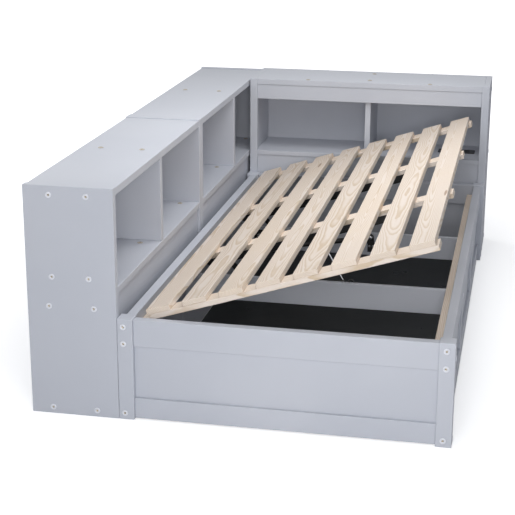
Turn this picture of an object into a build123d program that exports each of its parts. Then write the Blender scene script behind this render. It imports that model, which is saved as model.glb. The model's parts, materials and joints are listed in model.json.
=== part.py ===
from build123d import *
import math
import os

# Storage day bed with an L of open bookcases and a lift-up slatted base.
# Lengths are millimetres. While building, X runs from the outer left face,
# Y from the front plane towards the head end and Z up from the floor.
# Every piece is moved on export so that the frame's origin is the bottom
# centre of the whole object.

# Boards
PANEL = 28
BOARD = 25
SHELF = 24
EASE = 2.0
FINE_EASE = 1.0

# Bookcases along the side
CASE_DEPTH = 290
CASE_LENGTH = 2306
CASE_SPLIT = 1108
PANEL_TOP = 754
TOP_Z = 751
SHELF_TOP = 433
FASCIA_FACE = 280
FASCIA = 18

# Bookcase at the head end
HEAD_FRONT = 2001.6
HEAD_LEFT = 293
HEAD_TOP = 759
HEAD_POST = 32
HEAD_SIDE = 25
HEAD_SHELF_TOP = 437
HEAD_SHELF = 19
HEAD_RAIL_BOTTOM = 670.5

# Bed box
BED_LEFT = 290.6
BED_RIGHT = 1340
BED_LENGTH = 2001
POST = 50.4
POST_TOP = 339
RAIL_TOP = 335
RAIL_BOTTOM = 247
PLINTH_BOTTOM = 5
PLINTH_TOP = 73
RAIL = 30
END_RAIL_INSET = 7
SIDE_RAIL_INSET = 15
PANEL_THIN = 12
INNER_LEFT = 336
INNER_RIGHT = 1295
BEAM = 18
BEAM_BOTTOM = 190
BEAM_TOP = 281
NEAR_BEAM = 669
FAR_BEAM = 1316
LEDGER_TOP = 299.5
FLOOR_TOP = 14
FLOOR = 6

# Slatted base, drawn flat from its hinge side corner, then tilted
TILT = 17.83
OPEN_CORNER = (366.5, 351)
SHUT_CORNER = (342.5, 336)
SLATS = 8
SLAT_WIDTH = 79
SLAT_PITCH = 122.5
SLAT = 18
BASE_START = 62
BASE_END = 1961
CROSSBAR = 18
CROSSBAR_WIDTH = 72
CROSSBAR_STARTS = (62, 684, 1287, 1889)
CROSSBAR_LEFT = 4
CROSSBAR_RIGHT = 944.5

# Lift mechanism. Depths are measured from the face of a beam.
ARM_START = 26
ARM_END = 735
ARM_HEIGHT = 30
ARM_STEEL = 3
ARM_PIN = (60, -51)
LINK_PIN = (110, -51)
LINK_BASE = (560, 255)
STRUT_STUD = (929, 271)
STRUT_CRANK_RADIUS = 60
STRUT_CRANK_ANGLE = 245
PLATE_DEPTH = (0, 4)
CRANK_DEPTH = (4.6, 9.6)
LINK_DEPTH = (10.2, 14.2)
ARM_DEPTH = (15, 18)
STRUT_DEPTH = 31
STAY_DEPTH = 52
PIN_RADIUS = 5
RUNNING = 0.05
TUBE_RADIUS = 10
ROD_RADIUS = 4.5
TUBE_START = 22
TUBE_END = 330
STAY_HINGE = (442, -46)
STAY_LENGTH = 262
STAY_ANGLE = -61.2
STAY_RADIUS = 3
STAY_EYE = 3.6
STAY_CHEEK = 4.2
STAY_REST = 208.5

# Caps over the bolts
CAP_RADIUS = 9
CAP_HEIGHT = 2.5

SHIFT_X = (BED_RIGHT + CAP_HEIGHT) / 2
SHIFT_Y = (CASE_LENGTH - CAP_HEIGHT) / 2


def save(name, solids):
    """Move a piece, or a group of them, to the shared frame and write it."""
    if not isinstance(solids, list):
        solids = [solids]
    placed = [Pos(-SHIFT_X, -SHIFT_Y, 0) * solid for solid in solids]
    shape = placed[0] if len(placed) == 1 else Compound(children=placed)
    export_step(shape, f"parts/{name}.step")


def box(x0, x1, y0, y1, z0, z1):
    size = Box(x1 - x0, y1 - y0, z1 - z0)
    return Pos((x0 + x1) / 2, (y0 + y1) / 2, (z0 + z1) / 2) * size


def board(x0, x1, y0, y1, z0, z1, ease=EASE):
    """A board with every edge eased."""
    solid = box(x0, x1, y0, y1, z0, z1)
    return fillet(solid.edges(), ease)


def turned(point, degrees):
    angle = math.radians(degrees)
    x, z = point
    return (
        x * math.cos(angle) - z * math.sin(angle),
        x * math.sin(angle) + z * math.cos(angle),
    )


def on_base(u, h):
    """Side view place of a point of the slatted base at its rest tilt."""
    x, z = turned((u, h), TILT)
    return (OPEN_CORNER[0] + x, OPEN_CORNER[1] + z)


def tilted(solid):
    """Move a piece drawn flat, with u as X and h as Z, to the rest tilt."""
    return Location((OPEN_CORNER[0], 0, OPEN_CORNER[1]), (0, -TILT, 0)) * solid


def crank_pivot():
    """The fixed pivot of a crank that turns twice the tilt of the base.

    The arm pin's shut and rest places are a chord of the crank's circle.
    """
    rest = on_base(*ARM_PIN)
    shut = (SHUT_CORNER[0] + ARM_PIN[0], SHUT_CORNER[1] + ARM_PIN[1])
    chord_x = rest[0] - shut[0]
    chord_z = rest[1] - shut[1]
    chord = math.hypot(chord_x, chord_z)
    reach = chord / 2 / math.tan(math.radians(TILT))
    middle = ((rest[0] + shut[0]) / 2, (rest[1] + shut[1]) / 2)
    return (
        middle[0] + reach * chord_z / chord,
        middle[1] - reach * chord_x / chord,
    )


CRANK_BASE = crank_pivot()
CRANK_TOP = on_base(*ARM_PIN)
LINK_TOP = on_base(*LINK_PIN)
STRUT_END = (
    CRANK_BASE[0] + STRUT_CRANK_RADIUS * math.cos(math.radians(STRUT_CRANK_ANGLE)),
    CRANK_BASE[1] + STRUT_CRANK_RADIUS * math.sin(math.radians(STRUT_CRANK_ANGLE)),
)


def side_view(side, depth_range, sketch):
    """Extrude a side view outline over a depth range off a beam's face.

    The near mechanism stands behind the near beam, the far one in front of
    the far beam.
    """
    low, high = depth_range
    if side == "near":
        start = NEAR_BEAM + BEAM + low
    else:
        start = FAR_BEAM - high
    flat = Plane(origin=(0, start, 0), x_dir=(1, 0, 0), z_dir=(0, -1, 0))
    return extrude(flat * sketch, amount=-(high - low))


def disc(point, radius):
    return Pos(point[0], point[1]) * Circle(radius)


def bar(start, end, start_radius, end_radius):
    """A flat bar outline: two round bosses and their common tangents."""
    return make_hull(
        [*disc(start, start_radius).edges(), *disc(end, end_radius).edges()]
    )


def pin(side, point, depth_range, radius=PIN_RADIUS):
    return side_view(side, depth_range, disc(point, radius))


# Side bookcases


def side_case(prefix, start, end):
    """One open bookcase of the side run, from its foot end to its head end."""
    inner_start = start + PANEL
    inner_end = end - PANEL
    middle = (inner_start + inner_end) / 2
    save(f"{prefix}_foot_panel", board(0, CASE_DEPTH, start, inner_start, 0, PANEL_TOP))
    save(f"{prefix}_head_panel", board(0, CASE_DEPTH, inner_end, end, 0, PANEL_TOP))
    top = board(2, CASE_DEPTH - 2, inner_start, inner_end, TOP_Z - BOARD, TOP_Z)
    save(f"{prefix}_top", top)
    shelf_bottom = SHELF_TOP - SHELF
    shelf = board(8, CASE_DEPTH - 2, inner_start, inner_end, shelf_bottom, SHELF_TOP)
    save(f"{prefix}_shelf", shelf)
    half = PANEL / 2
    partition = board(
        8, CASE_DEPTH - 3, middle - half, middle + half, SHELF_TOP, TOP_Z - BOARD
    )
    save(f"{prefix}_partition", partition)
    fascia = board(
        FASCIA_FACE - FASCIA, FASCIA_FACE, inner_start, inner_end, 5, shelf_bottom
    )
    save(f"{prefix}_fascia", fascia)
    back = board(2, 8, inner_start, inner_end, 5, TOP_Z - BOARD, FINE_EASE)
    save(f"{prefix}_back", back)


# Head bookcase

HEAD_INNER_LEFT = HEAD_LEFT + HEAD_SIDE
HEAD_INNER_RIGHT = BED_RIGHT - HEAD_SIDE
HEAD_BACK = 2296
HEAD_MIDDLE = (HEAD_INNER_LEFT + HEAD_INNER_RIGHT) / 2


def head_posts():
    back = HEAD_FRONT + BOARD
    left = board(HEAD_LEFT, HEAD_LEFT + HEAD_POST, HEAD_FRONT, back, 0, HEAD_TOP + 1)
    right = board(BED_RIGHT - HEAD_POST, BED_RIGHT, HEAD_FRONT, back, 0, HEAD_TOP + 1)
    return [left, right]


def head_case():
    front = HEAD_FRONT + BOARD
    save("head_posts", head_posts())
    left = board(HEAD_LEFT, HEAD_INNER_LEFT, front, CASE_LENGTH, 0, HEAD_TOP)
    right = board(HEAD_INNER_RIGHT, BED_RIGHT, front, CASE_LENGTH, 0, HEAD_TOP)
    save("head_left_side", left)
    save("head_right_side", right)
    top_left = HEAD_INNER_LEFT
    top_right = HEAD_INNER_RIGHT
    between_left = HEAD_LEFT + HEAD_POST
    between_right = BED_RIGHT - HEAD_POST
    top = box(top_left, top_right, front, CASE_LENGTH - 2, HEAD_TOP - SHELF, HEAD_TOP)
    nose = box(between_left, between_right, HEAD_FRONT + 1, front, HEAD_TOP - SHELF, HEAD_TOP)
    save("head_top", fillet((top + nose).edges(), FINE_EASE))
    rail = board(
        between_left, between_right, HEAD_FRONT + 4, HEAD_FRONT + 22,
        HEAD_RAIL_BOTTOM, HEAD_TOP - SHELF,
    )
    save("head_top_rail", rail)
    shelf_bottom = HEAD_SHELF_TOP - HEAD_SHELF
    shelf = box(top_left, top_right, front, HEAD_BACK, shelf_bottom, HEAD_SHELF_TOP)
    lip = box(
        between_left, between_right, HEAD_FRONT + 2, front, shelf_bottom, HEAD_SHELF_TOP
    )
    whole = fillet((shelf + lip).edges(), FINE_EASE)
    save("head_shelf", whole - socket_body(0.3))
    half = SHELF / 2
    partition = board(
        HEAD_MIDDLE - half, HEAD_MIDDLE + half, HEAD_FRONT + 22, HEAD_BACK,
        HEAD_SHELF_TOP, HEAD_TOP - SHELF,
    )
    save("head_partition", partition)
    back = board(top_left, top_right, HEAD_BACK, HEAD_BACK + 6, 5, HEAD_TOP - SHELF, FINE_EASE)
    save("head_back", back)
    lower = board(
        between_left, between_right, HEAD_FRONT + 6, HEAD_FRONT + 18, 5, shelf_bottom
    )
    save("head_lower_panel", lower)


SOCKET = (1122, 1284, 2130, 2200)


def socket_body(gap):
    """The part of the power unit that sits in the shelf's cutout."""
    x0, x1, y0, y1 = SOCKET
    low = HEAD_SHELF_TOP - HEAD_SHELF - 14
    solid = box(x0 + 6 - gap, x1 - 6 + gap, y0 + 6 - gap, y1 - 6 + gap, low, HEAD_SHELF_TOP)
    return fillet(solid.edges().filter_by(Axis.Z), 6)


def socket_unit():
    x0, x1, y0, y1 = SOCKET
    plate = box(x0, x1, y0, y1, HEAD_SHELF_TOP, HEAD_SHELF_TOP + 3)
    plate = fillet(plate.edges().filter_by(Axis.Z), 9)
    plate = fillet(plate.faces().sort_by(Axis.Z)[-1].edges(), 1.2)
    unit = plate + socket_body(0)
    middle_y = (y0 + y1) / 2
    recess_floor = HEAD_SHELF_TOP - 8
    for centre in (x0 + 34, x0 + 84):
        well = Pos(centre, middle_y, recess_floor) * Cylinder(
            19, 30, align=(Align.CENTER, Align.CENTER, Align.MIN)
        )
        unit = unit - well
    for row in (-13, 13):
        port = box(x0 + 118, x0 + 138, middle_y + row - 5, middle_y + row + 5, recess_floor, 460)
        unit = unit - port
    save("power_socket", unit)


# Bed box


def short_posts():
    posts = []
    for x0 in (BED_LEFT, BED_RIGHT - POST):
        for y0 in (0, BED_LENGTH - POST):
            posts.append(board(x0, x0 + POST, y0, y0 + POST, 0, POST_TOP, 3))
    return posts


def foot_board():
    x0 = BED_LEFT + POST
    x1 = BED_RIGHT - POST
    y0 = END_RAIL_INSET
    y1 = y0 + RAIL
    save("foot_top_rail", board(x0, x1, y0, y1, RAIL_BOTTOM, RAIL_TOP))
    save("foot_bottom_rail", board(x0, x1, y0, y1, PLINTH_BOTTOM, PLINTH_TOP))
    save("foot_panel", board(x0, x1, y0 + 9, y0 + 9 + PANEL_THIN, PLINTH_TOP, RAIL_BOTTOM, FINE_EASE))


def head_board():
    x0 = BED_LEFT + POST
    x1 = BED_RIGHT - POST
    y1 = BED_LENGTH - END_RAIL_INSET
    y0 = y1 - RAIL
    save("inner_head_rail", board(x0, x1, y0, y1, RAIL_BOTTOM + 3, RAIL_TOP))
    panel = board(x0, x1, y0 + 12, y0 + 12 + PANEL_THIN, PLINTH_BOTTOM, RAIL_BOTTOM + 3, FINE_EASE)
    save("inner_head_panel", panel)


STILE = 54


def stile_starts():
    return [start + BEAM / 2 - STILE / 2 for start in (NEAR_BEAM, FAR_BEAM)]


def right_side():
    y0 = POST
    y1 = BED_LENGTH - POST
    x0 = INNER_RIGHT
    x1 = x0 + RAIL
    save("right_top_rail", board(x0, x1, y0, y1, RAIL_BOTTOM, RAIL_TOP))
    save("right_bottom_rail", board(x0, x1, y0, y1, PLINTH_BOTTOM, PLINTH_TOP))
    stiles = []
    edges = [y0]
    for start in stile_starts():
        stiles.append(board(x0, x1, start, start + STILE, PLINTH_TOP, RAIL_BOTTOM))
        edges += [start, start + STILE]
    edges.append(y1)
    save("right_stiles", stiles)
    panels = []
    for low, high in zip(edges[::2], edges[1::2]):
        inner = x1 - 10 - PANEL_THIN
        panels.append(
            board(inner, inner + PANEL_THIN, low, high, PLINTH_TOP, RAIL_BOTTOM, FINE_EASE)
        )
    save("right_panels", panels)


LEFT_SEAM = (650, 655)


def left_side():
    y0 = POST
    y1 = BED_LENGTH - POST
    x1 = INNER_LEFT
    x0 = x1 - RAIL
    save("left_top_rail", board(x0, x1, y0, y1, RAIL_BOTTOM, RAIL_TOP))
    wall = x1 - 5
    first = board(
        wall - PANEL_THIN, wall, y0, LEFT_SEAM[0], PLINTH_BOTTOM, RAIL_BOTTOM, FINE_EASE
    )
    second = board(
        wall - PANEL_THIN, wall, LEFT_SEAM[1], y1, PLINTH_BOTTOM, RAIL_BOTTOM, FINE_EASE
    )
    save("left_panels", [first, second])


def beams():
    for name, start in (("near_beam", NEAR_BEAM), ("far_beam", FAR_BEAM)):
        solid = board(INNER_LEFT, INNER_RIGHT, start, start + BEAM, BEAM_BOTTOM, BEAM_TOP)
        save(name, solid)


def ledgers():
    right = board(1268, INNER_RIGHT, 60, 1940, BEAM_TOP, LEDGER_TOP)
    left = board(INNER_LEFT, 360, 60, 1940, BEAM_TOP, LEDGER_TOP)
    return [left, right]


def floor_panels():
    """Three floor panels, cut round the posts, on strips that reach the ground."""
    x0 = INNER_LEFT + 1
    x1 = INNER_RIGHT - 1
    y0 = END_RAIL_INSET + RAIL + 1
    y1 = BED_LENGTH - END_RAIL_INSET - RAIL - 1
    joints = (NEAR_BEAM + BEAM / 2, FAR_BEAM + BEAM / 2)
    spans = ((y0, joints[0] - 0.5), (joints[0] + 0.5, joints[1] - 0.5), (joints[1] + 0.5, y1))
    panels = []
    for low, high in spans:
        sheet = box(x0, x1, low, high, FLOOR_TOP - FLOOR, FLOOR_TOP)
        for post_x in (BED_LEFT, BED_RIGHT - POST):
            for post_y in (0, BED_LENGTH - POST):
                sheet = sheet - box(
                    post_x - 1, post_x + POST + 1, post_y - 1, post_y + POST + 1, 0, POST_TOP
                )
        panels.append(sheet)
        for strip_y in (low + 20, high - 60):
            panels.append(box(x0 + 60, x1 - 60, strip_y, strip_y + 40, 0, FLOOR_TOP - FLOOR))
    return panels


# Slatted base


def slats():
    pieces = []
    for index in range(SLATS):
        left = index * SLAT_PITCH
        slat = board(left, left + SLAT_WIDTH, BASE_START, BASE_END, -SLAT, 0)
        pieces.append(tilted(slat))
    return pieces


def crossbars():
    pieces = []
    for start in CROSSBAR_STARTS:
        solid = board(
            CROSSBAR_LEFT, CROSSBAR_RIGHT, start, start + CROSSBAR_WIDTH,
            -SLAT - CROSSBAR, -SLAT,
        )
        pieces.append(tilted(solid))
    return pieces


# Lift mechanism


def lift_arm(side):
    """An angle bar under a crossbar: an upright leg and a flange on its top."""
    low, high = ARM_DEPTH
    flange = (-2, high)
    top = -SLAT - CROSSBAR
    corners = [
        on_base(ARM_START, top),
        on_base(ARM_END, top),
        on_base(ARM_END, top - ARM_HEIGHT + 10),
        on_base(ARM_END - 10, top - ARM_HEIGHT),
        on_base(ARM_START + 14, top - ARM_HEIGHT),
        on_base(ARM_START, top - ARM_HEIGHT + 12),
    ]
    leg = side_view(side, ARM_DEPTH, make_face(Polyline(*corners, close=True)))
    strip = [
        on_base(ARM_START, top),
        on_base(ARM_END, top),
        on_base(ARM_END, top - ARM_STEEL),
        on_base(ARM_START, top - ARM_STEEL),
    ]
    arm = leg + side_view(side, flange, make_face(Polyline(*strip, close=True)))
    arm = arm - pin(side, CRANK_TOP, (low - 1, high + 1), PIN_RADIUS + RUNNING)
    return arm + head(side, LINK_TOP, (high, high + 2.3), 8)


def base_plate(side):
    """The plate on a beam's face that carries the crank and the link."""
    outline = bar(CRANK_BASE, LINK_BASE, 22, 16)
    plate = side_view(side, PLATE_DEPTH, outline)
    return plate


def strut_bracket(side):
    """The cranked bracket that holds a strut's stud clear of the arm."""
    x, z = STRUT_STUD
    half = 14
    shelf_z = z - 25
    ear = make_hull(
        [
            *disc(STRUT_STUD, 12).edges(),
            *(Pos(x, shelf_z + 2) * Rectangle(2 * half, 4)).edges(),
        ]
    )
    wall = Pos(x, shelf_z - 20) * Rectangle(2 * half, 44)
    shelf = Pos(x, shelf_z) * Rectangle(2 * half, 4)
    bracket = side_view(side, (20, 24), ear)
    bracket = bracket + side_view(side, (0, 24), shelf)
    bracket = bracket + side_view(side, (0, 4), wall)
    if side == "near":
        rest = Pos(x, STAY_REST - 2) * Rectangle(2 * half, 4)
        bracket = bracket + side_view(side, (0, 62), rest)
    return bracket - pin(side, STRUT_STUD, (19, 25), PIN_RADIUS + RUNNING / 2)


def head(side, point, depth_range, radius):
    """A round head with its outer edge eased."""
    low, high = depth_range
    solid = pin(side, point, depth_range, radius)
    faces = solid.faces().sort_by(Axis.Y)
    outer = faces[-1] if side == "near" else faces[0]
    return fillet(outer.edges(), 0.7 * (high - low))


def pins_and_bolts(side):
    """The crank's pin, the link's pin, the strut's stud and the bolts into the beam."""
    crank_pin = pin(side, CRANK_BASE, (4, 9.7)) + head(side, CRANK_BASE, (9.7, 12), 8)
    link_pin = pin(side, LINK_BASE, (4, 14.3)) + head(side, LINK_BASE, (14.3, 16.6), 8)
    stud = pin(side, STRUT_STUD, (20, 35.5)) + head(side, STRUT_STUD, (35.5, 38), 8)
    solids = [crank_pin, link_pin, stud]
    x, z = STRUT_STUD
    for spot in ((517, 259.5), (519, 240.5), (x - 7, z - 43), (x + 7, z - 43)):
        solids.append(head(side, spot, (4, 6.4), 5))
    return solids


def crank(side):
    """A two-armed crank: one arm carries the base, the strut pushes the other."""
    outline = bar(CRANK_BASE, CRANK_TOP, 15, 9) + bar(CRANK_BASE, STRUT_END, 15, 11)
    plate = side_view(side, CRANK_DEPTH, outline)
    plate = plate - pin(side, CRANK_BASE, (0, 20), PIN_RADIUS + RUNNING)
    end = ARM_DEPTH[1] + 0.3
    shaft = pin(side, CRANK_TOP, (CRANK_DEPTH[1], end))
    return [plate, shaft + head(side, CRANK_TOP, (end, end + 2.3), 8)]


def link(side):
    """The second link, with a short pin that stops just clear of the arm."""
    outline = bar(LINK_BASE, LINK_TOP, 11, 9)
    plate = side_view(side, LINK_DEPTH, outline)
    plate = plate - pin(side, LINK_BASE, (0, 20), PIN_RADIUS + RUNNING)
    return plate + pin(side, LINK_TOP, (LINK_DEPTH[1], ARM_DEPTH[0] - 0.4))


def strut_line():
    dx = STRUT_END[0] - STRUT_STUD[0]
    dz = STRUT_END[1] - STRUT_STUD[1]
    length = math.hypot(dx, dz)
    return (dx / length, dz / length, length)


def strut_depth_y(side, depth):
    if side == "near":
        return NEAR_BEAM + BEAM + depth
    return FAR_BEAM - depth


def strut_tube(side):
    """A closed tube with a gland and an eye on the stud."""
    dx, dz, length = strut_line()
    y = strut_depth_y(side, STRUT_DEPTH)
    start = Plane(
        origin=(STRUT_STUD[0] + dx * TUBE_START, y, STRUT_STUD[1] + dz * TUBE_START),
        z_dir=(dx, 0, dz),
    )
    profile = Pos(0, 0) * Circle(TUBE_RADIUS)
    tube = extrude(start * profile, amount=TUBE_END - TUBE_START)
    bore = Plane(origin=start.origin + start.z_dir * 14, z_dir=(dx, 0, dz))
    tube = tube - extrude(bore * Circle(8), amount=TUBE_END - TUBE_START - 14 - 18)
    tube = tube - extrude(
        bore * Circle(ROD_RADIUS + RUNNING), amount=TUBE_END - TUBE_START
    )
    neck = Plane(origin=(STRUT_STUD[0] + dx * 7, y, STRUT_STUD[1] + dz * 7), z_dir=(dx, 0, dz))
    tube = tube + extrude(neck * Circle(3.4), amount=TUBE_START - 7 + 1)
    depth = (STRUT_DEPTH - 4, STRUT_DEPTH + 4)
    tube = tube + pin(side, STRUT_STUD, depth, 10.5)
    return tube - pin(side, STRUT_STUD, (20, 40), PIN_RADIUS + RUNNING)


def strut_rod(side):
    """A rod with its piston inside the tube and an eye at the crank."""
    dx, dz, length = strut_line()
    y = strut_depth_y(side, STRUT_DEPTH)
    piston_at = 250
    origin = (STRUT_STUD[0] + dx * piston_at, y, STRUT_STUD[1] + dz * piston_at)
    start = Plane(origin=origin, z_dir=(dx, 0, dz))
    rod = extrude(start * Circle(ROD_RADIUS), amount=length - piston_at - 7)
    rod = rod + extrude(start * Circle(8 - RUNNING), amount=14)
    eye = pin(side, STRUT_END, (STRUT_DEPTH - 4, STRUT_DEPTH + 4), 10)
    stub = pin(side, STRUT_END, (CRANK_DEPTH[1] + 0.5, STRUT_DEPTH - 4))
    return rod + eye + stub


def stay_rod():
    """A thin stay with an eye on its hinge pin and a foot on its rest."""
    hinge = on_base(*STAY_HINGE)
    angle = math.radians(STAY_ANGLE)
    dx = math.cos(angle)
    dz = math.sin(angle)
    y = strut_depth_y("near", STAY_DEPTH)
    start = Plane(origin=(hinge[0] + dx * 6, y, hinge[1] + dz * 6), z_dir=(dx, 0, dz))
    rod = extrude(start * Circle(STAY_RADIUS), amount=STAY_LENGTH - 10)
    foot_at = STAY_LENGTH - 14
    foot = Plane(
        origin=(hinge[0] + dx * foot_at, y, hinge[1] + dz * foot_at), z_dir=(dx, 0, dz)
    )
    rod = rod + extrude(foot * Circle(5), amount=15)
    rod = rod + pin("near", hinge, (STAY_DEPTH - STAY_EYE, STAY_DEPTH + STAY_EYE), 8)
    return rod - pin("near", hinge, (STAY_DEPTH - 5, STAY_DEPTH + 5), 3 + RUNNING)


def stay_bracket():
    """A fork under the crossbar with the stay's hinge pin."""
    u, h = STAY_HINGE
    top = -SLAT - CROSSBAR
    corners = [
        on_base(u - 14, top),
        on_base(u + 14, top),
        on_base(u + 8, h - 8),
        on_base(u - 8, h - 8),
    ]
    cheek = make_face(Polyline(*corners, close=True))
    strip = [
        on_base(u - 14, top),
        on_base(u + 14, top),
        on_base(u + 14, top - 2),
        on_base(u - 14, top - 2),
    ]
    plate = make_face(Polyline(*strip, close=True))
    depth = STAY_DEPTH
    outer = STAY_CHEEK + 2.4
    fork = side_view("near", (depth - outer, depth - STAY_CHEEK), cheek)
    fork = fork + side_view("near", (depth + STAY_CHEEK, depth + outer), cheek)
    fork = fork + side_view("near", (depth - outer, depth + outer), plate)
    return fork + pin("near", on_base(u, h), (depth - outer - 1, depth + outer + 1), 3)


# Caps


def cap(x, y, z, toward):
    """A low domed cap whose back lies on a face; toward is the way it looks."""
    disc_solid = Cylinder(CAP_RADIUS, CAP_HEIGHT, align=(Align.CENTER, Align.CENTER, Align.MIN))
    dome = fillet(disc_solid.faces().sort_by(Axis.Z)[-1].edges(), CAP_HEIGHT - 0.4)
    dome = dome - Pos(0, 0, CAP_HEIGHT) * Box(10, 1.6, 1.6)
    turn = {"front": (90, 0, 0), "right": (0, 90, 0), "up": (0, 0, 0)}[toward]
    return Location((x, y, z), turn) * dome


def front_caps():
    spots = []
    for z in (725, 462):
        spots += [(84, z), (204, z)]
    for z in (365, 22):
        spots += [(71, z), (218, z)]
    for x in (310, 1313):
        spots += [(x, 312), (x, 256), (x, 22)]
    return [cap(x, 0, z, "front") for x, z in spots]


def side_caps():
    caps = []
    for y in (POST / 2, BED_LENGTH - POST / 2):
        for z in (284, 22):
            caps.append(cap(BED_RIGHT, y, z, "right"))
    for y in (2060, 2270):
        for z in (708, 424, 26):
            caps.append(cap(BED_RIGHT, y, z, "right"))
    for start in stile_starts():
        for z, x in ((262, INNER_RIGHT + RAIL), (31, INNER_RIGHT + RAIL)):
            caps.append(cap(x, start + STILE / 2, z, "right"))
    return caps


def top_caps():
    caps = []
    cases = ((0, CASE_SPLIT), (CASE_SPLIT + 0.6, CASE_LENGTH))
    for start, end in cases:
        middle = (start + end) / 2
        inner = (start + PANEL, middle - PANEL / 2, middle + PANEL / 2, end - PANEL)
        for x in (73, 220):
            caps.append(cap(x, middle, TOP_Z, "up"))
            for y in (inner[0] + 34, inner[1] - 34, inner[2] + 34, inner[3] - 34):
                caps.append(cap(x, y, SHELF_TOP, "up"))
    for x, y in ((550, 2020), (1083, 2020), (HEAD_MIDDLE, 2065), (HEAD_MIDDLE, 2240)):
        caps.append(cap(x, y, HEAD_TOP, "up"))
    return caps


def main():
    os.makedirs("parts", exist_ok=True)
    side_case("foot_case", 0, CASE_SPLIT)
    side_case("head_corner_case", CASE_SPLIT + 0.6, CASE_LENGTH)
    head_case()
    socket_unit()
    save("short_posts", short_posts())
    foot_board()
    head_board()
    right_side()
    left_side()
    beams()
    save("ledgers", ledgers())
    save("floor_panels", floor_panels())
    save("slats", slats())
    save("crossbars", crossbars())
    brackets = []
    pins = []
    for side in ("near", "far"):
        save(f"{side}_lift_arm", lift_arm(side))
        save(f"{side}_crank", crank(side))
        save(f"{side}_link", link(side))
        save(f"{side}_strut_tube", strut_tube(side))
        save(f"{side}_strut_rod", strut_rod(side))
        brackets += [base_plate(side), strut_bracket(side)]
        pins += pins_and_bolts(side)
    save("beam_brackets", brackets)
    save("pins_and_bolts", pins)
    save("stay_rod", stay_rod())
    save("stay_bracket", stay_bracket())
    save("front_caps", front_caps())
    save("side_caps", side_caps())
    save("top_caps", top_caps())


main()
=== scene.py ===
import bmesh
import bpy
import json
import math
import numpy as np
from mathutils import Matrix, Vector


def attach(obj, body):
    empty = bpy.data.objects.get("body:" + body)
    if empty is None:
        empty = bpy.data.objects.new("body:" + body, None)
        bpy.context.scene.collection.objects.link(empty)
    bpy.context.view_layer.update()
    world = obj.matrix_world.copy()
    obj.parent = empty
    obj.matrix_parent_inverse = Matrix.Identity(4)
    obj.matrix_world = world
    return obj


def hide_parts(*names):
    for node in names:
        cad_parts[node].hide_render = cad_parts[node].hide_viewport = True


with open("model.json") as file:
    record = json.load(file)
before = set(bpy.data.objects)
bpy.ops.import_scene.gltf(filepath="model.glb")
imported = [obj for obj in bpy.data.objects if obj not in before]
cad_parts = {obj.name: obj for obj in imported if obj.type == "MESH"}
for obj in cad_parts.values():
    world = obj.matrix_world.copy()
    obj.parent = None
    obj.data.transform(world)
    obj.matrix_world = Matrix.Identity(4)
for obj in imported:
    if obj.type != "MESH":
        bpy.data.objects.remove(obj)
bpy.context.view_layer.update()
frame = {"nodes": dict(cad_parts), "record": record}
nodes = frame["nodes"]
print("frame loaded:", len(nodes), "nodes")

layout = {
    # in metres: the outer left corner at the foot end, in the frame, and from that corner the
    # hinge side edge of the slatted base's top and the faces of the two beams

    "corner": (-0.67125, -1.15175, 0.0),
    "tilt": math.radians(17.83),
    "baseCorner": (0.3665, 0.351),
    "nearFace": 0.687,
    "farFace": 1.316,
}


def fromCorner(x, y, z):
    # a point measured from the outer left corner at the foot end, in millimetres
    offset = layout["corner"]
    return (x / 1000 + offset[0], y / 1000 + offset[1], z / 1000)


def startMaterial(name, color, roughness, metallic=0.0, specular=0.5):
    material = bpy.data.materials.new(name)
    material.use_nodes = True
    shader = material.node_tree.nodes["Principled BSDF"]
    shader.inputs["Base Color"].default_value = (*color, 1)
    shader.inputs["Roughness"].default_value = roughness
    shader.inputs["Metallic"].default_value = metallic
    shader.inputs["Specular IOR Level"].default_value = specular
    return material, shader


def put(material, kind, inputs=None, **settings):
    node = material.node_tree.nodes.new(kind)
    for key, value in settings.items():
        setattr(node, key, value)
    for key, value in (inputs or {}).items():
        if isinstance(value, bpy.types.NodeSocket):
            material.node_tree.links.new(value, node.inputs[key])
        else:
            node.inputs[key].default_value = value
    return node


def calc(material, operation, first, second=0.0, third=None):
    inputs = {0: first, 1: second}
    if third is not None:
        inputs[2] = third
    return put(material, "ShaderNodeMath", inputs, operation=operation).outputs[0]


def fadeBetween(material, value, low, high):
    # smooth step: 0 below low, 1 above high
    node = put(material, "ShaderNodeMapRange", {"Value": value, "From Min": low, "From Max": high},
               interpolation_type="SMOOTHSTEP")
    return node.outputs["Result"]


def mixColor(material, factor, first, second, blend="MIX"):
    node = put(material, "ShaderNodeMix", data_type="RGBA", blend_type=blend)
    for key, value in ((0, factor), (6, first), (7, second)):
        if isinstance(value, bpy.types.NodeSocket):
            material.node_tree.links.new(value, node.inputs[key])
        else:
            node.inputs[key].default_value = value if key == 0 else (*value, 1)
    return node.outputs[2]


def noise(material, vector, scale, detail=2.0, rough=0.5, stretch=None):
    if stretch is not None:
        vector = put(material, "ShaderNodeMapping", {"Vector": vector, "Scale": stretch}).outputs[0]
    return put(material, "ShaderNodeTexNoise",
               {"Vector": vector, "Scale": scale, "Detail": detail, "Roughness": rough}).outputs["Fac"]


def feed(material, shader, name, value):
    material.node_tree.links.new(value, shader.inputs[name])


def bump(material, shader, height, strength, distance):
    node = put(material, "ShaderNodeBump", {"Height": height, "Strength": strength, "Distance": distance})
    feed(material, shader, "Normal", node.outputs[0])


def objectPlace(material):
    return put(material, "ShaderNodeTexCoord").outputs["Object"]


paint = {
    "tone": (0.560, 0.578, 0.632),
    "deep": (0.525, 0.545, 0.602),
    "roughness": 0.42,
}


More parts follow.
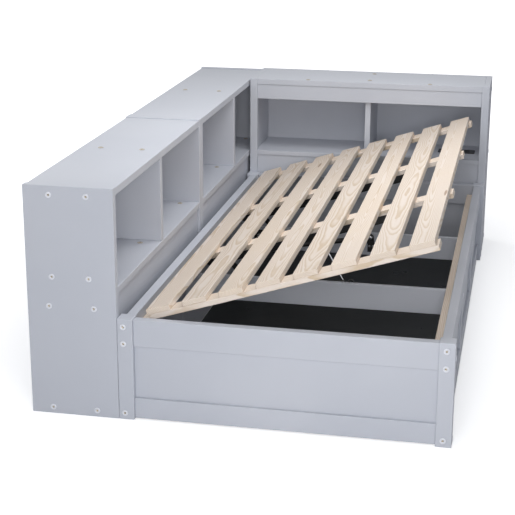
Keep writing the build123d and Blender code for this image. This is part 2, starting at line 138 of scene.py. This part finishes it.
def satinPaint(name, tone, deep):
    # sprayed satin paint: slow tone drift, fine orange peel and a little uneven gloss
    material, shader = startMaterial(name, tone, paint["roughness"], 0.0, 0.22)
    place = objectPlace(material)
    drift = noise(material, place, 1.7, 3.0)
    specks = noise(material, place, 60.0, 2.0)
    drifting = mixColor(material, fadeBetween(material, drift, 0.36, 0.66), deep, tone)
    speckled = mixColor(material, calc(material, "MULTIPLY", specks, 0.10), drifting, deep)
    feed(material, shader, "Base Color", speckled)
    gloss = calc(material, "MULTIPLY_ADD", drift, 0.16, paint["roughness"] - 0.08)
    feed(material, shader, "Roughness", gloss)
    peel = calc(material, "ADD", noise(material, place, 420.0, 2.0),
                calc(material, "MULTIPLY", noise(material, place, 34.0, 2.0), 0.8))
    bump(material, shader, peel, 0.07, 0.0006)
    return material


pine = {
    "early": (0.810, 0.715, 0.635),
    "late": (0.610, 0.465, 0.310),
    "warm": (0.750, 0.605, 0.455),
    "knot": (0.300, 0.160, 0.075),
    "ringWidth": 0.0042,
}


def sawnPine(name, turn, start, pitch, middle, seed):
    # boards cut from a tapering log: the ring number is the distance from the log's slanting
    # heart, so flat faces show arches and end faces show arcs; turn lays the grain along Y
    material, shader = startMaterial(name, pine["early"], 0.55, 0.0, 0.35)
    laid = put(material, "ShaderNodeMapping",
               {"Vector": objectPlace(material), "Rotation": turn, "Location": start}).outputs[0]
    axes = put(material, "ShaderNodeSeparateXYZ", {"Vector": laid})
    across, along, depth = axes.outputs[0], axes.outputs[1], axes.outputs[2]
    board = calc(material, "FLOOR", calc(material, "DIVIDE", across, pitch))
    local = calc(material, "SUBTRACT", across, calc(material, "MULTIPLY_ADD", board, pitch, middle))
    chance = put(material, "ShaderNodeTexWhiteNoise", {"W": calc(material, "ADD", board, seed)},
                 noise_dimensions="1D")
    dice = put(material, "ShaderNodeSeparateColor", {"Color": chance.outputs["Color"]})
    shifted = calc(material, "MULTIPLY_ADD", board, 3.7, along)
    wanderPlace = put(material, "ShaderNodeCombineXYZ", {0: board, 1: shifted, 2: seed}).outputs[0]
    wander = calc(material, "SUBTRACT", noise(material, wanderPlace, 1.5, 2.0), 0.5)
    heart = calc(material, "MULTIPLY_ADD", calc(material, "SUBTRACT", dice.outputs[0], 0.5), 0.070,
                 calc(material, "MULTIPLY", wander, 0.06))
    slope = calc(material, "MULTIPLY", calc(material, "SUBTRACT", dice.outputs[1], 0.5), 0.050)
    below = calc(material, "ADD", calc(material, "MULTIPLY_ADD", dice.outputs[2], 0.055, 0.012),
                 calc(material, "ADD", calc(material, "MULTIPLY", along, slope),
                      calc(material, "MULTIPLY", wander, 0.035)))
    side = calc(material, "SUBTRACT", local, heart)
    up = calc(material, "ADD", depth, below)
    radius = calc(material, "SQRT", calc(material, "ADD", calc(material, "MULTIPLY", side, side),
                                         calc(material, "MULTIPLY", up, up)))
    # knots push the rings round themselves
    spread = put(material, "ShaderNodeCombineXYZ",
                 {0: calc(material, "MULTIPLY", local, 9.0), 1: calc(material, "MULTIPLY", shifted, 1.15),
                  2: calc(material, "MULTIPLY", board, 2.3)}).outputs[0]
    cell = put(material, "ShaderNodeTexVoronoi", {"Vector": spread, "Scale": 1.0, "Randomness": 1.0})
    near = fadeBetween(material, cell.outputs["Distance"], 0.30, 0.0)
    frill = noise(material, laid, 18.0, 3.0, 0.55, (1.0, 0.35, 1.0))
    rings = calc(material, "ADD", calc(material, "DIVIDE", radius, pine["ringWidth"]),
                 calc(material, "ADD", calc(material, "MULTIPLY", near, 3.2),
                      calc(material, "MULTIPLY", frill, 1.5)))
    step = calc(material, "FRACT", rings)
    late = calc(material, "MULTIPLY", fadeBetween(material, step, 0.30, 0.86),
                fadeBetween(material, step, 1.0, 0.90))
    bandStrength = noise(material, laid, 5.0, 2.0, 0.5, (1.0, 0.2, 1.0))
    late = calc(material, "MULTIPLY", late, calc(material, "MULTIPLY_ADD", bandStrength, 0.85, 0.26))
    fibre = noise(material, laid, 300.0, 2.0, 0.6, (1.0, 0.02, 1.0))
    blush = noise(material, wanderPlace, 2.6, 2.0)
    color = mixColor(material, late, pine["early"], pine["late"])
    color = mixColor(material, calc(material, "MULTIPLY", fadeBetween(material, blush, 0.45, 0.8), 0.30),
                     color, pine["warm"])
    color = mixColor(material, calc(material, "MULTIPLY", fadeBetween(material, fibre, 0.5, 0.8), 0.16),
                     color, pine["late"])
    core = fadeBetween(material, cell.outputs["Distance"], 0.060, 0.035)
    color = mixColor(material, calc(material, "MULTIPLY", core, 0.72), color, pine["knot"])
    tone = calc(material, "MULTIPLY_ADD", dice.outputs[1], 0.10, 0.94)
    toneColor = put(material, "ShaderNodeCombineColor", {0: tone, 1: tone, 2: tone}).outputs[0]
    color = mixColor(material, 1.0, color, toneColor, "MULTIPLY")
    feed(material, shader, "Base Color", color)
    feed(material, shader, "Roughness", calc(material, "MULTIPLY_ADD", late, -0.10, 0.60))
    ridges = calc(material, "ADD", fibre, calc(material, "MULTIPLY", late, 0.8))
    bump(material, shader, ridges, 0.22, 0.0004)
    return material


def blackBoard(name):
    # black faced board with a soft sheen and faint dust
    material, shader = startMaterial(name, (0.010, 0.012, 0.012), 0.30, 0.0, 0.32)
    place = objectPlace(material)
    dust = noise(material, place, 7.0, 4.0, 0.6)
    color = mixColor(material, calc(material, "MULTIPLY", fadeBetween(material, dust, 0.4, 0.8), 0.5),
                     (0.007, 0.009, 0.009), (0.019, 0.022, 0.022))
    feed(material, shader, "Base Color", color)
    feed(material, shader, "Roughness", calc(material, "MULTIPLY_ADD", dust, 0.22, 0.20))
    bump(material, shader, noise(material, place, 600.0, 2.0), 0.10, 0.0003)
    return material


def blackSteel(name):
    # powder coated steel: fine pebbled skin
    material, shader = startMaterial(name, (0.016, 0.016, 0.017), 0.38, 0.0, 0.5)
    place = objectPlace(material)
    pebble = noise(material, place, 900.0, 2.0)
    worn = noise(material, place, 26.0, 3.0)
    color = mixColor(material, fadeBetween(material, worn, 0.45, 0.75), (0.013, 0.013, 0.014),
                     (0.026, 0.027, 0.028))
    feed(material, shader, "Base Color", color)
    feed(material, shader, "Roughness", calc(material, "MULTIPLY_ADD", pebble, 0.14, 0.30))
    bump(material, shader, pebble, 0.16, 0.0003)
    return material


def brightSteel(name, dull, bright):
    # ground and plated steel: faint turning marks and a little haze
    material, shader = startMaterial(name, bright, 0.24, 1.0)
    place = objectPlace(material)
    marks = noise(material, place, 700.0, 2.0, 0.5, (1.0, 1.0, 0.15))
    haze = noise(material, place, 30.0, 3.0)
    feed(material, shader, "Base Color", mixColor(material, haze, dull, bright))
    feed(material, shader, "Roughness", calc(material, "MULTIPLY_ADD", marks, 0.18, 0.14))
    bump(material, shader, marks, 0.05, 0.0002)
    return material


def mouldedPlastic(name, color, deep, roughness):
    # moulded plastic: fine spark texture and a slight drift of tone
    material, shader = startMaterial(name, color, roughness, 0.0, 0.5)
    place = objectPlace(material)
    grit = noise(material, place, 1400.0, 2.0)
    drift = noise(material, place, 9.0, 2.0)
    feed(material, shader, "Base Color", mixColor(material, drift, deep, color))
    feed(material, shader, "Roughness", calc(material, "MULTIPLY_ADD", grit, 0.14, roughness - 0.07))
    bump(material, shader, grit, 0.08, 0.0002)
    return material


def baseStart(tilt):
    # the mapping offset that puts the slatted base's hinge side corner at nought
    x = layout["baseCorner"][0] + layout["corner"][0]
    z = layout["baseCorner"][1]
    c, s = math.cos(tilt), math.sin(tilt)
    return (-(x * c + z * s), 0.0, -(-x * s + z * c))


tilt = layout["tilt"]
flatStart = baseStart(tilt)
finishes = {
    "paint": satinPaint("satinPaint", paint["tone"], paint["deep"]),
    "slat": sawnPine("pineSlats", (0, tilt, 0), (flatStart[0] + 0.0218, 0, flatStart[2]),
                     0.1225, 0.0613, 4.0),
    "crossbar": sawnPine("pineCrossbars", (0, tilt, math.pi / 2), (1.36, flatStart[0], flatStart[2]),
                         0.61, 0.305, 31.0),
    "ledger": sawnPine("pineLedgers", (0, 0, 0), (0.79, 0, -0.29), 0.933, 0.4665, 57.0),
    "floor": blackBoard("blackFloorBoard"),
    "blackSteel": blackSteel("blackSteel"),
    "brightSteel": brightSteel("brightSteel", (0.52, 0.53, 0.55), (0.66, 0.67, 0.69)),
    "boltSteel": brightSteel("yellowPlatedSteel", (0.36, 0.32, 0.25), (0.56, 0.51, 0.42)),
    "cap": mouldedPlastic("paleCapPlastic", (0.80, 0.81, 0.86), (0.73, 0.74, 0.80), 0.30),
    # darker warm caps: partly the brass colour of the bolt heads on the tops, partly painted shade
    # standing in for the shadow in the shelves' fitting holes
    "brassAndShadeCap": mouldedPlastic("shadedBrassCapPlastic", (0.50, 0.45, 0.38), (0.36, 0.31, 0.25), 0.30),
    "socket": mouldedPlastic("blackSocketPlastic", (0.018, 0.018, 0.019), (0.012, 0.012, 0.013), 0.40),
}
print("finishes made:", len(finishes))

slotFinish = {"painted_panel": "paint", "black_panel": "floor", "black_steel": "blackSteel",
              "bright_steel": "brightSteel", "cap_plastic": "cap", "socket_plastic": "socket"}
ownFinish = {"slats": "slat", "crossbars": "crossbar", "ledgers": "ledger"}
for part in frame["record"]["subparts"]:
    node = nodes[part["node"]]
    finish = finishes[ownFinish.get(part["node"]) or slotFinish[part["material_slot"]]]
    node.data.materials.clear()
    node.data.materials.append(finish)
print("finishes on the boards and fittings")


def makePiece(name, points, faces, finish, body, replaced=()):
    mesh = bpy.data.meshes.new(name)
    mesh.from_pydata(points.tolist(), [], faces)
    shape = bmesh.new()
    shape.from_mesh(mesh)
    bmesh.ops.remove_doubles(shape, verts=shape.verts, dist=1e-6)
    bmesh.ops.recalc_face_normals(shape, faces=shape.faces)
    shape.to_mesh(mesh)
    shape.free()
    mesh.polygons.foreach_set("use_smooth", np.full(len(mesh.polygons), True))
    mesh.materials.append(finish)
    piece = bpy.data.objects.new(name, mesh)
    bpy.context.scene.collection.objects.link(piece)
    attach(piece, body)
    if replaced:
        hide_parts(*replaced)


def turnedPoints(profile, spots, steps):
    # a turned shape: point = centre + axis*height + radius*(side*cos(a) + other*sin(a)),
    # for each (radius, height) of the profile and each spot's centre and axis
    profile = np.array(profile, float)
    centres = np.array([s[0] for s in spots], float)
    axes = np.array([s[1] for s in spots], float)
    axes /= np.linalg.norm(axes, axis=1, keepdims=True)
    helper = np.where(np.abs(axes[:, 2:3]) > 0.9, [[1.0, 0, 0]], [[0, 0, 1.0]])
    side = np.cross(helper, axes)
    side /= np.linalg.norm(side, axis=1, keepdims=True)
    other = np.cross(axes, side)
    angle = np.linspace(0, 2 * np.pi, steps, endpoint=False)
    ring = (side[:, None, :] * np.cos(angle)[None, :, None]
            + other[:, None, :] * np.sin(angle)[None, :, None])
    points = (centres[:, None, None, :] + axes[:, None, None, :] * profile[None, :, 1, None, None]
              + ring[:, None, :, :] * profile[None, :, 0, None, None])
    return points.reshape(-1, 3)


def turnedFaces(rows, count, steps):
    # quads between neighbouring rings, and one face closing each end
    row, turn = np.meshgrid(np.arange(rows - 1), np.arange(steps), indexing="ij")
    after = (turn + 1) % steps
    quad = np.stack([row * steps + turn, row * steps + after, (row + 1) * steps + after,
                     (row + 1) * steps + turn], axis=-1).reshape(-1, 4)
    ends = [list(range(steps - 1, -1, -1)), list(range((rows - 1) * steps, rows * steps))]
    faces = []
    for index in range(count):
        shift = index * rows * steps
        faces += (quad + shift).tolist() + [[i + shift for i in end] for end in ends]
    return faces


def turnedPiece(name, profile, spots, finish, body, replaced=(), steps=32):
    profile = [(r / 1000, h / 1000) for r, h in profile]
    points = turnedPoints(profile, spots, steps)
    faces = turnedFaces(len(profile), len(spots), steps)
    makePiece(name, points, faces, finish, body, replaced)


boltCap = {
    # a collar with a bolt's head sunk in it, as radius and height in millimetres
    "collar": [(9.2, 0.0), (9.6, 0.2), (9.6, 0.9), (9.1, 1.6), (8.1, 2.1), (6.6, 2.4), (5.2, 2.3),
               (4.4, 1.9), (4.0, 1.2), (3.9, 0.5), (0.3, 0.45)],
    "head": [(3.4, 0.45), (3.5, 0.6), (3.5, 0.9), (3.1, 1.3), (2.4, 1.45), (1.7, 1.4), (1.5, 0.8),
             (0.3, 0.75)],
}


capPlace = {
    # in millimetres from the outer left corner at the foot end
    "endPanel": [(84, 725), (204, 725), (84, 462), (204, 462), (71, 365), (218, 365), (71, 22), (218, 22)],
    "footPosts": {"x": (310, 1313), "z": (312, 256, 22)},
    "rightPosts": {"x": 1340, "y": (25.2, 1975.8), "z": (284, 22)},
    "headSide": {"x": 1340, "y": (2060, 2270), "z": (708, 424, 26)},
    "stiles": {"x": 1325, "y": (678, 1325), "z": (262, 31)},
    "cases": {"x": (73, 220), "lengths": ((0, 1108), (1108.6, 2306)), "top": 751, "shelf": 433,
              "fromEnd": 62, "fromMiddle": 48},
    "headTop": {"z": 759, "spots": [(550, 2020), (1083, 2020), (816.5, 2065), (816.5, 2240)]},
}


def capSpots():
    # the places on the foot end, the right side and the tops, each with the way it faces
    posts, cases, headTop = capPlace["footPosts"], capPlace["cases"], capPlace["headTop"]
    front = capPlace["endPanel"] + [(x, z) for x in posts["x"] for z in posts["z"]]
    side = []
    for row in (capPlace["rightPosts"], capPlace["headSide"], capPlace["stiles"]):
        side += [(row["x"], y, z) for y in row["y"] for z in row["z"]]
    top = []
    for start, end in cases["lengths"]:
        middle = (start + end) / 2
        rows = (start + cases["fromEnd"], middle - cases["fromMiddle"],
                middle + cases["fromMiddle"], end - cases["fromEnd"])
        top += [(x, middle, cases["top"]) for x in cases["x"]]
        top += [(x, y, cases["shelf"]) for x in cases["x"] for y in rows]
    top += [(x, y, headTop["z"]) for x, y in headTop["spots"]]
    return ([(fromCorner(x, 0, z), (0, -1, 0)) for x, z in front],
            [(fromCorner(x, y, z), (1, 0, 0)) for x, y, z in side],
            [(fromCorner(x, y, z), (0, 0, 1)) for x, y, z in top])


def boltCaps():
    groups = capSpots()
    names = ("frontBoltCaps", "sideBoltCaps", "topBoltCaps")
    # the tops and shelves take the darker warm caps, whose dark tone is partly painted shade
    looks = ("cap", "cap", "brassAndShadeCap")
    for name, node, look, spots in zip(names, ("front_caps", "side_caps", "top_caps"), looks, groups):
        turnedPiece(name, boltCap["collar"], spots, finishes[look], "bed_and_bookcases",
                    (node,))
    turnedPiece("boltHeads", boltCap["head"], sum(groups, []), finishes["boltSteel"],
                "bed_and_bookcases", steps=24)


boltCaps()
print("bolt caps made")


rivet = {
    # a peened head from its seat outwards, as radius and height in millimetres
    "profile": [(7.6, 0.0), (7.9, 0.3), (7.7, 0.9), (6.9, 1.6), (5.4, 2.15), (3.4, 2.45), (0.3, 2.55)],
    # along the base from its hinge side and below its top
    "armPin": 60,
    "linkPin": 110,
    "drop": 51,
    "strutStud": (929.0, 271.0),  # from the outer left side and the floor
    # how far off the beam's face each head is seated, on the outer face of the solids' own heads
    "crankSeat": 20.6,
    "linkSeat": 20.3,
    "strutSeat": 38.0,
}


def depthPlace(side, x, z, w):
    # a point w millimetres off the near or the far beam's face
    y = layout["nearFace"] * 1000 + w if side == "near" else layout["farFace"] * 1000 - w
    return fromCorner(x, y, z)


def underBase(along):
    # a pivot of the lift arm on the tilted base, as x and z in millimetres
    c, s = math.cos(layout["tilt"]), math.sin(layout["tilt"])
    x0, z0 = (v * 1000 for v in layout["baseCorner"])
    return x0 + along * c + rivet["drop"] * s, z0 + along * s - rivet["drop"] * c


def rivetHeads():
    for side, sign in (("near", 1), ("far", -1)):
        heads = [
            ("CrankPinHead", underBase(rivet["armPin"]), rivet["crankSeat"], f"{side}_crank"),
            ("LinkStudHead", underBase(rivet["linkPin"]), rivet["linkSeat"], "slat_base"),
            ("StrutStudHead", rivet["strutStud"], rivet["strutSeat"], "bed_and_bookcases"),
        ]
        for name, (x, z), seat, body in heads:
            spot = (depthPlace(side, x, z, seat), (0, sign, 0))
            turnedPiece(side + name, rivet["profile"], [spot], finishes["brightSteel"], body)


rivetHeads()
print("rivets made")


camera = {
    "place": (0.82877, -4.88169, 1.75198),
    "look": (-0.19119, 0.93552, -0.29706),
    "up": (-0.06307, 0.29031, 0.95485),
    "lens": 93.05,
    "sensor": 36,
}


def setCamera():
    data = bpy.data.cameras.new("photoCamera")
    data.lens = camera["lens"]
    data.sensor_width = camera["sensor"]
    view = bpy.data.objects.new("photoCamera", data)
    bpy.context.scene.collection.objects.link(view)
    look = Vector(camera["look"]).normalized()
    right = look.cross(Vector(camera["up"])).normalized()
    up = right.cross(look)
    turn = Matrix((right, up, -look)).transposed()
    view.matrix_world = Matrix.Translation(camera["place"]) @ turn.to_4x4()
    bpy.context.scene.camera = view


light = {
    "key": {"place": (-1.5, -4.5, 2.5), "size": 2.0, "watts": 14},
    "low": {"place": (0.6, -3.4, 1.2), "size": 1.0, "watts": 31},
    "foot": {"place": (-0.05, -0.9, 1.95), "size": 1.0, "watts": 9},
    "head": {"place": (0.30, 0.1, 1.95), "size": 1.0, "watts": 12},
    "back": {"place": (-4.0, 3.6, 1.2), "size": 2.6, "watts": 110},
    "aim": (0, 0, 0.3),  # where every lamp points
    "world": 0.30,
    "shade": (0.92, 0.95, 1.0),
}


def addLamp(name, values):
    data = bpy.data.lights.new(name, "AREA")
    data.shape = "DISK"
    data.size = values["size"]
    data.energy = values["watts"]
    lamp = bpy.data.objects.new(name, data)
    bpy.context.scene.collection.objects.link(lamp)
    lamp.location = values["place"]
    way = Vector(light["aim"]) - lamp.location
    lamp.rotation_euler = way.to_track_quat("-Z", "Y").to_euler()
    lamp.visible_camera = False


def paleSurround():
    # white to the camera and in reflections, and a plain level of light on everything else
    world = bpy.data.worlds.new("paleSurround")
    bpy.context.scene.world = world
    world.use_nodes = True
    tree = world.node_tree
    shader = tree.nodes["Background"]
    path = tree.nodes.new("ShaderNodeLightPath")
    seen = tree.nodes.new("ShaderNodeMath")
    seen.operation = "ADD"
    seen.use_clamp = True
    both = tree.nodes.new("ShaderNodeMath")
    both.operation = "ADD"
    tree.links.new(path.outputs["Is Camera Ray"], both.inputs[0])
    tree.links.new(path.outputs["Is Glossy Ray"], both.inputs[1])
    tree.links.new(both.outputs[0], seen.inputs[0])
    tree.links.new(path.outputs["Is Transmission Ray"], seen.inputs[1])
    level = tree.nodes.new("ShaderNodeMapRange")
    level.inputs["To Min"].default_value = light["world"]
    level.inputs["To Max"].default_value = 1.0
    tree.links.new(seen.outputs[0], level.inputs["Value"])
    tree.links.new(level.outputs["Result"], shader.inputs["Strength"])
    hue = tree.nodes.new("ShaderNodeMix")
    hue.data_type = "RGBA"
    hue.inputs[6].default_value = (*light["shade"], 1)
    hue.inputs[7].default_value = (1, 1, 1, 1)
    tree.links.new(seen.outputs[0], hue.inputs[0])
    tree.links.new(hue.outputs[2], shader.inputs["Color"])


floorLook = {
    "reach": 14,  # half its width
    "color": (0.86, 0.86, 0.87),
    # the lift towards white that only the camera sees, near the bed and away from it
    "liftNear": 0.52,
    "liftFar": 1.0,
    "fadeFrom": 1.2,
    "fadeTo": 3.2,
}


def paleFloor():
    # z = 0 over a wide square
    mesh = bpy.data.meshes.new("paleFloor")
    reach = floorLook["reach"]
    mesh.from_pydata([(-reach, -reach, 0), (reach, -reach, 0), (reach, reach, 0), (-reach, reach, 0)], [],
                     [(0, 1, 2, 3)])
    floor = bpy.data.objects.new("paleFloor", mesh)
    bpy.context.scene.collection.objects.link(floor)
    material, shader = startMaterial("paleFloor", floorLook["color"], 0.9, 0.0, 0.1)
    tree = material.node_tree
    path = tree.nodes.new("ShaderNodeLightPath")
    glow = tree.nodes.new("ShaderNodeEmission")
    glow.inputs["Color"].default_value = (1, 1, 1, 1)
    # the floor fades to white away from the bed, where the lamps no longer reach
    reachOut = put(material, "ShaderNodeVectorMath", {0: objectPlace(material)}, operation="LENGTH")
    fade = put(material, "ShaderNodeMapRange",
               {"Value": reachOut.outputs["Value"], "From Min": floorLook["fadeFrom"],
                "From Max": floorLook["fadeTo"], "To Min": floorLook["liftNear"],
                "To Max": floorLook["liftFar"]})
    lift = calc(material, "MULTIPLY", path.outputs["Is Camera Ray"], fade.outputs["Result"])
    tree.links.new(lift, glow.inputs["Strength"])
    add = tree.nodes.new("ShaderNodeAddShader")
    tree.links.new(shader.outputs[0], add.inputs[0])
    tree.links.new(glow.outputs[0], add.inputs[1])
    tree.links.new(add.outputs[0], tree.nodes["Material Output"].inputs["Surface"])
    mesh.materials.append(material)


setCamera()
for lampName in ("key", "low", "foot", "head", "back"):
    addLamp(lampName + "Lamp", light[lampName])
paleSurround()
paleFloor()
bpy.context.scene.view_settings.view_transform = "Standard"
print("camera, lamps and floor set")
